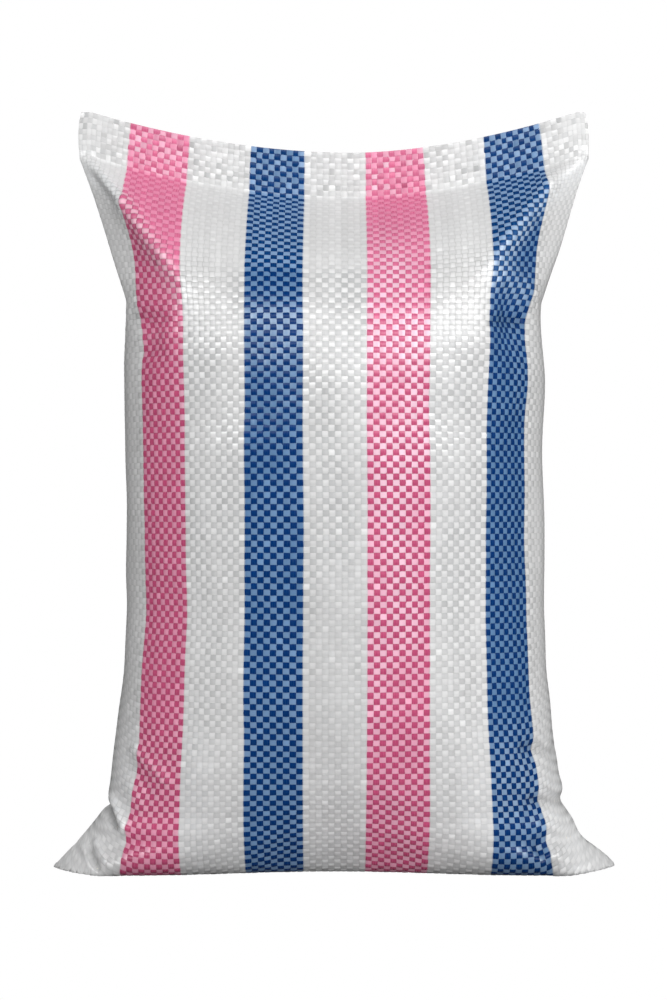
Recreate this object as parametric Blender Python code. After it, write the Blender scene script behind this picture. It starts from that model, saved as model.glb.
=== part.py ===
"""A filled woven rice bag that stands on its base, with its mouth pressed flat.

Metres, +Z up. The front faces -Y. The origin is on the floor under the middle of the bag.
A level is the height that a weft row has at the middle of the bag: rows rise towards
the two top corners, and lie level lower down.
"""

import math

import bmesh
import bpy

# Mouth: both faces lie flat on each other here
MOUTH_LEVEL = 0.366
MOUTH_HALF_WIDTH = 0.1318
MOUTH_DEPTH = 0.024
CORNER_LIFT = 0.021
LIFT_POWER = 1.9
LIFT_AT_RIM = 1.1
LEVELLING_HEIGHT = 0.065
MOUTH_Y = 0.006

# Body, from the shoulders down to the floor
SHOULDER_LEVEL = 0.287
SHOULDER_REACH = 0.050
WAIST_HALF_WIDTH = 0.1073
SPREAD_LEVEL = 0.135
FOOT_HALF_WIDTH = 0.1230
SPREAD_POWER = 1.6
BELLY_FRONT_Y = -0.070
BELLY_BACK_Y = 0.072
BELLY_ROUNDNESS = 2.1
SHOULDER_ROUNDNESS = 2.4
MOUTH_ROUNDNESS = 1.6
FOOT_ROUNDNESS = 2.6

# Foot: the faces turn under here, and the corners stick out as flat ears
TURN_UNDER_HEIGHT = 0.092
TURN_UNDER_POWER = 2.1
FOOT_FRONT_Y = -0.031
FOOT_BACK_Y = 0.036
EAR_HEIGHT = 0.034
EAR_LENGTH = 0.0195
EAR_TAPER = 1.3
EAR_Y = -0.014
EAR_TIP_HALF_THICKNESS = 0.0022
EAR_ROOT_HALF_THICKNESS = 0.0060
EAR_SIDE_SHARPNESS = 1.25

# Cloth wall, hem and fill
EDGE_HALF_THICKNESS = 0.0011
SLIT_HALF_WIDTH = 0.0003
WALL = 0.0012
BASE_WALL = 0.0022
CLEARANCE = 0.0009
EAR_CLEARANCE = 0.0070
MOUTH_CLEARANCE = 0.0030
FILL_HEADROOM = 0.014
BLEND_POWER = 2
EDGE_POWER = 30

# Seam thread, in the groove that its stitches pull into the hem
THREAD_DIAMETER = 0.0009
THREAD_LENGTH = 0.250
THREAD_Y = 0.004
GROOVE_WIDTH = 0.0016
GROOVE_DEPTH = 0.0014
THREAD_SIDES = 10

POINTS_ROUND = 56

MOUTH_LINE = MOUTH_LEVEL - MOUTH_DEPTH


def clear_scene():
    for obj in list(bpy.data.objects):
        bpy.data.objects.remove(obj, do_unlink=True)


def make_material(name, colour, roughness):
    material = bpy.data.materials.new(name)
    material.use_nodes = True
    shader = material.node_tree.nodes["Principled BSDF"]
    shader.inputs["Base Color"].default_value = (*colour, 1.0)
    shader.inputs["Roughness"].default_value = roughness
    shader.inputs["Metallic"].default_value = 0.0
    material.diffuse_color = (*colour, 1.0)
    return material


def clamp(value):
    return min(max(value, 0.0), 1.0)


def mix(start, end, share):
    return start + (end - start) * share


def smooth(value):
    share = clamp(value)
    return share * share * (3.0 - 2.0 * share)


def spaced(start, end, count):
    """Count levels from start, leaving end out."""
    return [mix(start, end, step / count) for step in range(count)]


def neck_share(level):
    """0 at the shoulders and 1 at the mouth line."""
    return clamp((level - SHOULDER_LEVEL) / (MOUTH_LINE - SHOULDER_LEVEL))


def body_half_width(level):
    """Half the width of the filled body, without its ears."""
    spread = clamp((SPREAD_LEVEL - level) / SPREAD_LEVEL) ** SPREAD_POWER
    upper = mix(WAIST_HALF_WIDTH, MOUTH_HALF_WIDTH, neck_share(level))
    return upper + (FOOT_HALF_WIDTH - WAIST_HALF_WIDTH) * spread


def ear_share(level):
    """1 at the floor, where the ears are longest, and 0 above them."""
    return clamp(1.0 - level / EAR_HEIGHT)


def ear_length(level):
    return EAR_LENGTH * ear_share(level) ** EAR_TAPER


def filled_share(level):
    """0 at the mouth line, where the faces part, and nearly 1 at the belly."""
    return math.tanh(max(MOUTH_LINE - level, 0.0) / SHOULDER_REACH)


def turned_share(level):
    """0 at the floor and 1 where the faces have stopped turning under."""
    return 1.0 - clamp(1.0 - level / TURN_UNDER_HEIGHT) ** TURN_UNDER_POWER


def front_y(level):
    body = mix(FOOT_FRONT_Y, BELLY_FRONT_Y, turned_share(level))
    return mix(MOUTH_Y, body, filled_share(level))


def back_y(level):
    body = mix(FOOT_BACK_Y, BELLY_BACK_Y, turned_share(level))
    return mix(MOUTH_Y, body, filled_share(level))


def side_y(level):
    """Where the two faces meet at the sides."""
    middle = mix((front_y(level) + back_y(level)) / 2, MOUTH_Y, 1.0 - filled_share(level))
    return mix(EAR_Y, middle, smooth(level / EAR_HEIGHT))


def roundness(level):
    below = smooth((SHOULDER_LEVEL - level) / LEVELLING_HEIGHT)
    above = mix(SHOULDER_ROUNDNESS, MOUTH_ROUNDNESS, neck_share(level))
    return mix(FOOT_ROUNDNESS, mix(above, BELLY_ROUNDNESS, below), turned_share(level))


def row_lift(level, x):
    """How far a row rises above its level on the way to a top corner."""
    flat = smooth((level - MOUTH_LINE + LEVELLING_HEIGHT) / LEVELLING_HEIGHT)
    rise = min(LIFT_AT_RIM * (abs(x) / MOUTH_HALF_WIDTH) ** LIFT_POWER, 1.0)
    return CORNER_LIFT * rise * flat


def body_depth(level, x, full_depth, inset):
    """Distance from the side line to a face of the filled body, at x across the bag."""
    power = roundness(level)
    side_power = mix(power, EAR_SIDE_SHARPNESS, smooth(ear_share(level)))
    share = clamp(abs(x) / (body_half_width(level) - inset))
    return max(full_depth - inset, 0.0) * (1.0 - share**power) ** (1.0 / side_power)


def flap_depth(level, x, edge, inset):
    """Half the thickness of the flat cloth in the mouth, the side edges and the ears."""
    root = edge - 2.0 * max(ear_length(level), WALL)
    towards_tip = smooth((abs(x) - root) / (edge - root))
    ear = mix(EAR_ROOT_HALF_THICKNESS, EAR_TIP_HALF_THICKNESS, towards_tip)
    flap = mix(EDGE_HALF_THICKNESS, ear, ear_share(level))
    return max(flap - inset, SLIT_HALF_WIDTH) * math.sqrt(1.0 - clamp(abs(x) / edge) ** EDGE_POWER)


def row_points(level, inset, with_flaps):
    """One weft row as a closed ring: the right side first, then the front, then the back."""
    edge = body_half_width(level) - inset
    if with_flaps:
        edge += ear_length(level)
    middle = side_y(level)
    points = []
    for step in range(POINTS_ROUND):
        angle = 2.0 * math.pi * step / POINTS_ROUND
        x = edge * math.cos(angle)
        in_front = angle < math.pi
        full_depth = middle - front_y(level) if in_front else back_y(level) - middle
        depth = body_depth(level, x, full_depth, inset)
        if with_flaps:
            flap = flap_depth(level, x, edge, inset)
            depth = (depth**BLEND_POWER + flap**BLEND_POWER) ** (1.0 / BLEND_POWER)
        if step % (POINTS_ROUND // 2) == 0:
            depth = 0.0
        y = middle - depth if in_front else middle + depth
        points.append((x, y, level + row_lift(level, x)))
    return points


def row_levels(lowest):
    """Levels from lowest to the mouth: close together where the shape turns quickly."""
    levels = spaced(0.0, EAR_HEIGHT, 6)
    levels += spaced(EAR_HEIGHT, TURN_UNDER_HEIGHT, 5)
    levels += spaced(TURN_UNDER_HEIGHT, SHOULDER_LEVEL, 7)
    levels += spaced(SHOULDER_LEVEL, MOUTH_LINE, 7)
    levels += spaced(MOUTH_LINE, MOUTH_LEVEL, 2)
    return [lowest, *[level for level in levels if level > lowest], MOUTH_LEVEL]


def add_rings(mesh, rings):
    return [[mesh.verts.new(point) for point in ring] for ring in rings]


def add_wall(mesh, lower, upper, outward):
    for step in range(POINTS_ROUND):
        after = (step + 1) % POINTS_ROUND
        corners = [lower[step], lower[after], upper[after], upper[step]]
        mesh.faces.new(corners if not outward else corners[::-1])


def add_cap(mesh, ring, downward):
    """Strips across a ring, from each front point to the back point behind it."""
    half = POINTS_ROUND // 2
    for step in range(half):
        behind = (POINTS_ROUND - step) % POINTS_ROUND
        corners = [ring[step], ring[step + 1], ring[behind - 1], ring[behind]]
        unique = list(dict.fromkeys(corners))
        mesh.faces.new(unique if not downward else unique[::-1])


def make_object(name, mesh, material):
    bmesh.ops.recalc_face_normals(mesh, faces=mesh.faces)
    data = bpy.data.meshes.new(name)
    mesh.to_mesh(data)
    mesh.free()
    data.materials.append(material)
    data.shade_smooth()
    data.set_sharp_from_angle(angle=math.radians(40))
    obj = bpy.data.objects.new(name, data)
    bpy.context.scene.collection.objects.link(obj)
    return obj


def make_sack(material):
    """The cloth: an outer wall, an inner wall, and the slit of the pressed mouth between them at the top."""
    mesh = bmesh.new()
    outer = add_rings(mesh, [row_points(level, 0.0, True) for level in row_levels(0.0)])
    inner = add_rings(mesh, [row_points(level, WALL, True) for level in row_levels(BASE_WALL)])
    for rings, outward in ((outer, True), (inner, False)):
        for lower, upper in zip(rings, rings[1:]):
            add_wall(mesh, lower, upper, outward)
    add_wall(mesh, outer[-1], inner[-1], True)
    add_cap(mesh, outer[0], True)
    add_cap(mesh, inner[0], False)
    sack = make_object("woven_sack", mesh, material)
    groove = make_groove()
    cut = sack.modifiers.new("seam groove", "BOOLEAN")
    cut.operation = "DIFFERENCE"
    cut.object = groove
    return sack


def make_groove():
    """A cutter for the line that the stitches press into the hem."""
    mesh = bmesh.new()
    bmesh.ops.create_cube(mesh, size=1.0)
    length = THREAD_LENGTH + GROOVE_WIDTH
    bmesh.ops.scale(mesh, vec=(length, GROOVE_WIDTH, 2.0 * GROOVE_DEPTH), verts=mesh.verts)
    bmesh.ops.translate(mesh, vec=(0.0, THREAD_Y, 0.0), verts=mesh.verts)
    data = bpy.data.meshes.new("seam_groove_cutter")
    mesh.to_mesh(data)
    mesh.free()
    cutter = bpy.data.objects.new("seam_groove_cutter", data)
    cutter.hide_render = True
    cutter.display_type = "WIRE"
    bpy.context.scene.collection.objects.link(cutter)
    return cutter


def make_thread(material):
    mesh = bmesh.new()
    bmesh.ops.create_cone(
        mesh,
        cap_ends=True,
        segments=THREAD_SIDES,
        radius1=THREAD_DIAMETER / 2,
        radius2=THREAD_DIAMETER / 2,
        depth=THREAD_LENGTH,
    )
    thread = make_object("seam_thread", mesh, material)
    thread.rotation_euler = (0.0, math.radians(90), 0.0)
    thread.location = (0.0, THREAD_Y, GROOVE_DEPTH / 2)
    return thread


def fill_inset(level):
    """The grain stays near the cloth, and thins out beside the ears and under the mouth."""
    beside_ear = clamp(1.0 - level / TURN_UNDER_HEIGHT)
    return WALL + CLEARANCE + EAR_CLEARANCE * beside_ear + MOUTH_CLEARANCE * neck_share(level)


def make_fill(material):
    """The rice: a plain core that follows the inside of the cloth."""
    mesh = bmesh.new()
    levels = [level for level in row_levels(BASE_WALL) if level < MOUTH_LINE - FILL_HEADROOM]
    rings = add_rings(mesh, [row_points(level, fill_inset(level), False) for level in levels])
    for vertex in rings[0]:
        vertex.co.z += CLEARANCE
    for lower, upper in zip(rings, rings[1:]):
        add_wall(mesh, lower, upper, True)
    add_cap(mesh, rings[0], True)
    add_cap(mesh, rings[-1], False)
    return make_object("rice_fill", mesh, material)


clear_scene()
make_sack(make_material("woven polypropylene cloth", (0.86, 0.86, 0.87), 0.35))
make_thread(make_material("polyester thread", (0.90, 0.90, 0.88), 0.60))
make_fill(make_material("milled rice", (0.88, 0.86, 0.78), 0.70))
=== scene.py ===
"""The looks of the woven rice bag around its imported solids.

Metres, +Z up, and the front faces -Y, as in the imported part. The cloth is built as it is
woven: flat warp tapes that run from the mouth to the seam, and flat weft tapes round the tube.
A column counts warp tapes round the tube and a row counts weft tapes from the mouth down.
"""

import math

import bpy
import numpy as np
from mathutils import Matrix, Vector


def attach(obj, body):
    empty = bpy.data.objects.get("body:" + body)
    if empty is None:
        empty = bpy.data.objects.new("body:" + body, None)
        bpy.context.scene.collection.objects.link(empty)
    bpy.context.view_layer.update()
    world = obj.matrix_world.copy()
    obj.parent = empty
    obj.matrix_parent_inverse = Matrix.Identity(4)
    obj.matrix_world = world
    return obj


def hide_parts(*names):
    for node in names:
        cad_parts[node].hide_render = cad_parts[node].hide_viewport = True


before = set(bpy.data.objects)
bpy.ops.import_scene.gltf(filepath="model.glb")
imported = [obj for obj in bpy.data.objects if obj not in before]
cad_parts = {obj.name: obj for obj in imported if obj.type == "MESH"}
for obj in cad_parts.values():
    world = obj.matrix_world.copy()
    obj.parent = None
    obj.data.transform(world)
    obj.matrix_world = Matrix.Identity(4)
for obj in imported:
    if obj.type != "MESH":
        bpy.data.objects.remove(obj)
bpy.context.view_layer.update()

# Shape of the filled bag, with the same names and sizes as in the part
MOUTH_LEVEL = 0.366
MOUTH_HALF_WIDTH = 0.1318
MOUTH_DEPTH = 0.024
CORNER_LIFT = 0.021
LIFT_POWER = 1.9
LIFT_AT_RIM = 1.1
LEVELLING_HEIGHT = 0.065
MOUTH_Y = 0.006
SHOULDER_LEVEL = 0.287
SHOULDER_REACH = 0.050
WAIST_HALF_WIDTH = 0.1073
SPREAD_LEVEL = 0.135
FOOT_HALF_WIDTH = 0.1215
SPREAD_POWER = 1.6
BELLY_FRONT_Y = -0.070
BELLY_BACK_Y = 0.072
BELLY_ROUNDNESS = 1.95
SHOULDER_ROUNDNESS = 2.4
MOUTH_ROUNDNESS = 1.6
FOOT_ROUNDNESS = 2.6
TURN_UNDER_HEIGHT = 0.092
TURN_UNDER_POWER = 2.1
EAR_HEIGHT = 0.032
EAR_LENGTH = 0.0212
EAR_TAPER = 1.12
EAR_Y = -0.014
EAR_TIP_HALF_THICKNESS = 0.0022
EAR_ROOT_HALF_THICKNESS = 0.0060
EAR_SIDE_SHARPNESS = 1.1
SEAM_Y = 0.004
MOUTH_LINE = MOUTH_LEVEL - MOUTH_DEPTH

# What the cloth does beyond the plain solid
LOW_POINT_X = 0.009
RIGHT_LIFT_POWER = 1.78
FOOT_SHIFT = 0.0007
FOOT_SHIFT_LEVELS = (0.230, 0.1725)
FOOT_FRONT_MIDDLE_Y = -0.0255
FOOT_FRONT_SIDE_Y = -0.0390
FOOT_SIDE_X = 0.100
FOOT_BACK_Y = 0.030
FOOT_FRONT_POWER = 10.0
FOOT_BACK_POWER = 2.4
FOOT_ROUNDING = 0.006
FOOT_ROUNDING_END_X = 0.120
RIGHT_EAR_CUT = 0.0036
RIGHT_EAR_CUT_LEVEL = 0.016
RIGHT_EAR_CUT_HEIGHT = 0.0075
TIP_START_X = 0.1400
TIP_LENGTH = 0.0025
LEFT_SHOULDER_CUT = 0.0027
SHOULDER_CUT_LEVEL = 0.294
SHOULDER_CUT_HEIGHT = 0.032
MOUTH_TAPER = 0.0017
MOUTH_TAPER_POWER = 4
CORNER_ROUNDING = 0.0007
CORNER_ROUNDING_HEIGHT = 0.006
TIP_RISE_LEFT = 0.0007
TIP_RISE_RIGHT = 0.0016
TIP_RISE_X = (0.112, 0.138)
FLAP_HALF_THICKNESS = 0.0004
SHORTEST_EAR = 0.0012
KNEE_LOW_LEVEL = 0.272
KNEE_FULL_LEVEL = 0.328
KNEE_START = 0.73
KNEE_START_LEVEL = 0.2995
KNEE_RATE = 5.2
KNEE_LIMITS = (0.68, 0.955)
KNEE_RIGHT_SHIFT = -0.045
KNEE_SOFTNESS = 0.035
KNEE_CROWN = 0.22
BLEND_POWER = 2
EDGE_POWER = 30

# Cloth: 90 warp tapes across a face, 8 to the inch, with coloured runs of warp as stripes
COLUMNS = 90
COLUMN_PITCH = 0.003175
ROW_PITCH = 0.00283
BELLY_ROW_PITCH = 0.00293
BELLY_ROW = 32
EVEN_ROW = 88
SEAM_ROW = 151
EDGE_GATHER_POWER = 9
STRIPES = {"pink": ((-35, -25), (5, 15)), "blue": ((-14, -5), (25, 35))}

# How far columns, counted from the middle of a face, stand off their even places at each height
SHIFT_COLUMNS = (-45, -35, -25, -14, -5, 5, 15, 25, 35, 45)
BELLY_SHIFTS = (0.0, 0.70, 0.10, -0.45, 0.0, 0.0, 0.10, 0.40, -0.55, 0.0)
SLOPE_SHIFTS = (0.0, -0.05, 0.30, -0.25, -0.10, 0.0, 0.0, 0.10, 0.35, 0.0)
MOUTH_SHIFTS = (0.0, 0.55, 0.40, 0.20, 0.0, 0.0, -0.45, -0.35, -0.90, 0.0)
LOW_SHIFTS = (0.0, 0.0, 0.0, 0.0, 0.0, 0.0, 0.0, 0.0, 0.50, 0.0)
SLOPE_SHIFT_LEVELS = (0.262, 0.292)
MOUTH_SHIFT_LEVEL = 0.334
LOW_SHIFT_LEVELS = (0.045, 0.033)

# The way of the middle column, and the pitch of the columns beside it: the slope shows more cloth
CENTRE_LEVELS = (0.0, 0.15, 0.30, MOUTH_LEVEL)
CENTRE_SHIFTS = (-0.0003, 0.0002, 0.0009, 0.0010)
PITCH_LEVELS = (0.27, 0.30, 0.345, MOUTH_LEVEL)
PITCHES = (0.00308, 0.00314, 0.00314, 0.00311)

# Tapes: width, its spread and sway are shares of the pitch
TAPE_WIDTH = 0.97
WIDTH_SPREAD = 0.02
BAND_UNEVENNESS = 0.13
UNEVENNESS_LIMIT = 1.5
TAPE_SWAY = 0.012
TAPE_WAVE = 0.00011
TAPE_DOME = 0.00005
HIDDEN_DOME = 0.3
WARP_BOW = 0.00009
WEFT_BOW = 0.00004
FLAT_SHARE = 0.60
TILT_HEIGHT = 0.00022
MARGIN_FLATNESS = 0.6
SLOPE_FLATNESS = 0.3
SLOPE_CRINKLE = 0.08
BELLY_CRINKLE = 0.30
BAND_CRINKLE = 0.42
MARGIN_CALM = 0.8
LOW_CALM = 0.5
SHINY_CALM = 0.7

# Base and hem
BASE_HEIGHT = 0.0006
BASE_BLEND = 0.02
HEM_ROWS = 9
HEM_LENGTH = 0.0115
HEM_DROP = 0.0002
HEM_DROP_RATE = 6.0
HEM_RETURN_HEIGHT = 0.0011
HEM_TURN = 0.0008
HUMP_LENGTH = 1.5 * HEM_LENGTH
HUMP_HEIGHT = 0.003
TIP_RISE_BLEND = 0.03
SEAM_BEND_START = 0.72

# Between each pair of rows or columns a share rises from none to one. Columns count from the
# middle of a face, and rows from the mouth.
BAND_END_ROWS = (9.0, 7.5)
ROUGH_ROWS = (22.0, 34.0)
LOW_ROWS = (84.0, 108.0)
MARGIN_COLUMNS = (36.0, 40.0)
RIDGE_START_COLUMNS = (23.0, 25.0)

# The row down to which the cloth is taut and flat in each column, and rows to its full change
SLOPE_END_COLUMNS = (-45.0, -35.0, -25.0, -22.0, -8.0, 8.0, 22.0, 25.0, 35.0, 45.0)
SLOPE_END_ROWS = (9.0, 14.0, 32.0, 31.0, 30.0, 30.0, 27.0, 28.0, 13.0, 9.0)
SLOPE_BLEND_FRONT = 4.0
SLOPE_BLEND_BACK = 22.0

# The weft's tone on the belly is partly its own and partly painted light; it shows less low down, in slow
# waves and at the sides
FADE_ROWS = (62.0, 122.0)
FADED_SHARE = 0.45
PATCH_LIMITS = (0.70, 1.15)
PATCH_SHARPNESS = 0.35
PATCH_WAVES = ((7.0, 0.08, 0.0), (11.0, -0.13, 1.3), (4.0, 0.21, 4.0))
SHEEN_COLUMNS = (-40.0, -35.0, -27.0, -23.0, 35.0, 39.0)
SHEEN_SHARES = (0.10, 0.20, 0.20, 1.00, 1.00, 0.30)

# The right pink stripe shows its pale checks early on the slope, and its deep ones late on the belly
PALE_CHECK_ROWS = (14.0, 36.0)
DEEP_CHECK_ROWS = (24.0, 60.0)

# The pale tapes look deeper blue over the right blue stripe from here down
DEEP_BLUE_ROWS = (52.0, 66.0)
DEEP_BLUE = 1.06

# Brightness of single floats, partly a random tone and partly painted glints, and how much of it belongs to
# the slope, the belly and the band
RARE_FLECK = 1.9
SLOPE_FLECK = 0.012
BELLY_FLECK = 0.035
BAND_FLECK = 0.085
MARGIN_FLECK_LOSS = 0.6
GAIN_LIMITS = (0.80, 1.16)
EVEN_TONE = 0.6
BAND_WARP_CONTRAST = 0.5
BAND_WEFT_CONTRAST = 0.9

# Fine upright ribs on the slope, where the weft hardly shows
RIB = 0.022

# Painted highlight where both sets of tapes shine alike: column from the middle of a face, row, half columns,
# half rows
SHINY_PLACES = ((20.0, 34.0, 6.0, 9.0), (-22.0, 35.0, 4.0, 7.0))
SHINY_STRENGTH = 1.3

# Painted shade in the gaps between tapes: a thin dark line along both sides of every tape, and how much
# deeper it is in the shiny places
GAP_SHADE = 0.10
SHINY_GAP_SHADE = 0.24
EDGE_SHARPNESS = 4.0

# The ridge that ends the slope at both sides, where the bent tapes get a painted highlight
RIDGE_COLUMNS = (-45.0, -35.0, -25.0, 25.0, 35.0, 45.0)
RIDGE_ROWS = (11.5, 18.5, 38.5, 33.5, 17.5, 11.5)
RIDGE_HALF_ROWS = 3.8
WARP_HIGHLIGHT = 0.30
WEFT_HIGHLIGHT = 0.65

# The left coloured stripe of a face lies a little in shade
DIM_COLUMNS = (-37.0, -35.0, -25.0, -23.0)
DIM_WEFT_GAINS = (1.0, 0.90, 0.90, 1.0)
DIM_END_ROWS = (110.0, 100.0)

# Painted shade, darker towards the floor, for columns counted from the middle of a face
FLOOR_SHADE_COLUMNS = (12.0, 20.0, 35.0, 40.0)
FLOOR_SHADES = (0.10, 0.28, 0.34, 0.03)
FLOOR_SHADE_HEIGHT = 0.026

# Low down the middle of the face is lit more evenly than its shape alone gives: gains for rows
MIDDLE_ROWS = (74.0, 88.0, 102.0, 112.0, 120.0, 130.0, 136.0)
MIDDLE_GAINS = (1.0, 0.955, 0.950, 0.99, 1.035, 1.060, 1.02)
MIDDLE_COLUMNS = 11.0
PLAIN_ROWS = (52.0, 68.0, 84.0, 112.0, 126.0)
PLAIN_WARP_GAINS = (1.0, 0.92, 0.89, 0.89, 1.0)

# Over the stripes the pale tapes catch more light low down at the sides, and high up in the middle
FOOT_HIGHLIGHT = 0.55
FOOT_HIGHLIGHT_ROWS = (104.0, 120.0)
FOOT_DIM = 0.6
FOOT_DIM_ROWS = (124.0, 132.0)
FOOT_HIGHLIGHT_COLUMNS = (18.0, 22.0)
CROWN_HIGHLIGHT = 0.34
CROWN_ROW = 43.0
CROWN_HALF_ROWS = 7.0
CROWN_COLUMNS = (20.0, 16.0)

# Rice: where it starts below the mouth, and how far it stays inside the cloth
RICE_TOP_ROW = 14
RICE_DEPTH = 0.00055
RICE_UNEVENNESS = 0.0003

# Seam thread and its stitches
THREAD_RADIUS = 0.00028
THREAD_SIDES = 8
THREAD_TURNS = 6.0
THREAD_ROUND = 6.3
STITCH_LENGTH = 0.0070
STITCHES = 36
STITCH_POINTS = 9
STITCH_HALF_WIDTH = 0.0006
STITCH_FULLNESS = 0.6
STITCH_RISE = 0.0002
STITCH_OVERLAP = 1.08
STITCH_INSET = 0.0045

# Folds of the front, in millimetres: x and z of both ends, half width, height (a crease is below 0)
FOLDS = (
    # Ridge from the left end of the mouth to the belly
    (-127, 363, -107, 338, 2.6, 1.4),
    (-123, 353, -113, 339, 2.0, -1.0),
    (-120, 344, -110, 329, 3.2, -0.5),
    (-106, 337, -84, 309, 5.0, 1.3),
    (-84, 309, -74, 291, 6.0, 0.9),
    # Left waist
    (-100, 279, -86, 277, 3.5, -0.9),
    (-98, 267, -80, 269, 3.5, 0.7),
    (-96, 260, -84, 259, 3.0, -0.45),
    # Left foot
    (-99, 62, -82, 49, 3.2, 1.2),
    (-101, 54, -90, 45, 3.4, -0.5),
    (-104, 47, -95, 35, 3.5, 0.5),
    (-116, 34, -110, 25, 2.4, -2.8),
    (-111, 36, -104, 24, 2.7, 2.0),
    (-130, 12, -125, 8, 1.7, -0.6),
    (-122, 12, -117, 5, 1.5, -2.4),
    (-119, 15, -112, 7, 1.9, 1.4),
    (-126, 12, -120, 4, 1.8, 0.7),
    # Ridge from the right end of the mouth to the belly
    (128, 364, 110, 348, 4.5, 0.9),
    (110, 348, 87, 318, 5.0, 1.3),
    (87, 318, 76, 302, 6.0, 0.9),
    # Right waist
    (88, 298, 97, 290, 8.0, 1.9),
    (80, 275, 96, 276, 3.6, -1.3),
    (96, 276, 103, 283, 3.0, -0.4),
    # Right foot
    (94, 65, 110, 60, 2.6, -1.2),
    (103, 44, 117, 41, 4.2, 1.0),
    (98, 38, 116, 35, 2.6, -1.3),
    (104, 26, 118, 23, 3.8, 0.7),
    (106, 11, 122, 15, 3.2, 1.0),
    (100, 16, 110, 6, 2.4, -1.3),
)
FOLD_TURN_COLUMNS = 5.0
BACK_FOLD_SHARE = 0.5
BACK_FOLD_RISE = 0.004

# Painted shade in a crease and a painted highlight on a crest, for each metre of the depth or height, and
# painted shade in the gaps along folds
CREASE_SHADE = 140.0
DEEPEST_SHADE = 0.36
CREST_HIGHLIGHT = 260.0
CREST_HIGHLIGHT_GAIN = 45.0
FOLD_GAP_SHADE = 0.26
FOLD_GAP_SHADE_HEIGHT = 0.001
FOLD_GAP_SHADE_END_ROWS = (30.0, 40.0)

# Where the cloth is drawn sideways: x, z, half width, half height, and how far towards the middle
TUCKS = (
    (-0.0925, 0.2690, 0.0085, 0.013, 0.0036),
    (0.093, 0.277, 0.0095, 0.018, 0.0058),
    (0.097, 0.0615, 0.0080, 0.006, 0.0014),
    (0.101, 0.040, 0.0070, 0.005, 0.0008),
)

# Slow uneven swelling of the filled cloth
SWELL = 0.0007
SMALL_SWELL = 0.35
SWELL_COLUMNS = 11.0
SWELL_ROWS = 13.0
SWELL_START_ROWS = (22.0, 36.0)
SWELL_END_ROWS = (131.0, 117.0)

# Sampling
LEVEL_SAMPLES = 420
RING_SAMPLES = 301
BASE_SAMPLES = 24
SEED = 20

# Cloth simulation on a coarse copy, from which only the fine wrinkles are kept
SIM_STEP = 3
SIM_FRAMES = 20
SIM_SETTINGS = {
    "tension_stiffness": 40.0,
    "compression_stiffness": 40.0,
    "shear_stiffness": 20.0,
    "bending_stiffness": 5.0,
    "use_pressure": True,
    "uniform_pressure_force": 1.0,
    "shrink_min": -0.003,
    "vertex_group_mass": "held",
}
HELD_ROWS = 9.0
HELD_BLEND = 5.0
WRINKLE_BLURS = 12
WRINKLE_LIMIT = 0.0006
WRINKLE_ROWS = (10.0, 14.0, 34.0, 40.0, 100.0, 115.0, 137.0, 145.0)
WRINKLE_SHARES = (0.0, 0.3, 0.3, 0.6, 0.6, 1.0, 1.0, 0.0)
NECK_EDGE_COLUMNS = (38.0, 42.0)
NECK_EDGE_ROWS = (46.0, 36.0)
MARGIN_WRINKLE_LOSS = 0.45

# Tapes: tones on the taut slope, on the belly, where the weft's tones are partly painted light, and of a
# painted highlight on a crest, then roughness and gloss
TAPES = {
    "white": (((0.745, 0.745, 0.745), (0.775, 0.775, 0.775), (0.84, 0.86, 0.88)), 0.22, 0.8),
    "pink": (((0.72, 0.165, 0.31), (0.54, 0.075, 0.185), (0.90, 0.34, 0.52)), 0.28, 0.5),
    "blue": (((0.000, 0.041, 0.170), (0.000, 0.034, 0.160), (0.06, 0.22, 0.50)), 0.28, 0.22),
    "weft": (((0.725, 0.725, 0.725), (0.545, 0.550, 0.555), (0.84, 0.86, 0.88)), 0.24, 0.8),
}

# The same three tones of the pale weft where it crosses a stripe
WEFT_OVER = {
    "pink": ((0.845, 0.295, 0.455), (0.90, 0.58, 0.70), (1.00, 0.66, 0.76)),
    "blue": ((0.225, 0.355, 0.57), (0.110, 0.225, 0.415), (0.62, 0.75, 0.92)),
}
STREAK_SCALE = (9.0, 0.6, 1.0)
STREAK_SHARE = 0.5
TONE_SHARE = 0.6
TONE_LIMITS = (0.93, 1.05)
ROUGHNESS_SPREAD = 0.08
STREAK_DEPTH = 0.00008
ANISOTROPY = 0.7
PLASTIC_IOR = 1.5
STREAK_STRENGTH = 0.25

# Rice and thread: both tones, strength and depth of the relief, roughness, and fineness of the pattern
GRAINS = (((0.80, 0.77, 0.68, 1.0), (0.66, 0.62, 0.52, 1.0)), 0.6, 0.001, 0.7)
GRAIN_SIZE = 0.004
TWIST = (((0.72, 0.72, 0.70, 1.0), (0.92, 0.92, 0.90, 1.0)), 0.5, 0.0001, 0.6)
TWIST_SCALE = 6.0

# Studio: the floor is grey in its light and white to the camera
WHITE = (1.0, 1.0, 1.0, 1.0)
WORLD_STRENGTH = 0.27
GLOSS_STRENGTH = 0.08
FLOOR_SIZE = 8.0
FLOOR_COLOUR = (0.48, 0.48, 0.48, 1.0)
FLOOR_ROUGHNESS = 0.9
CAMERA_PLACE = (0.0, -1.060, 0.187)
LENS = 74.41
SENSOR = 36.0

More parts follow.
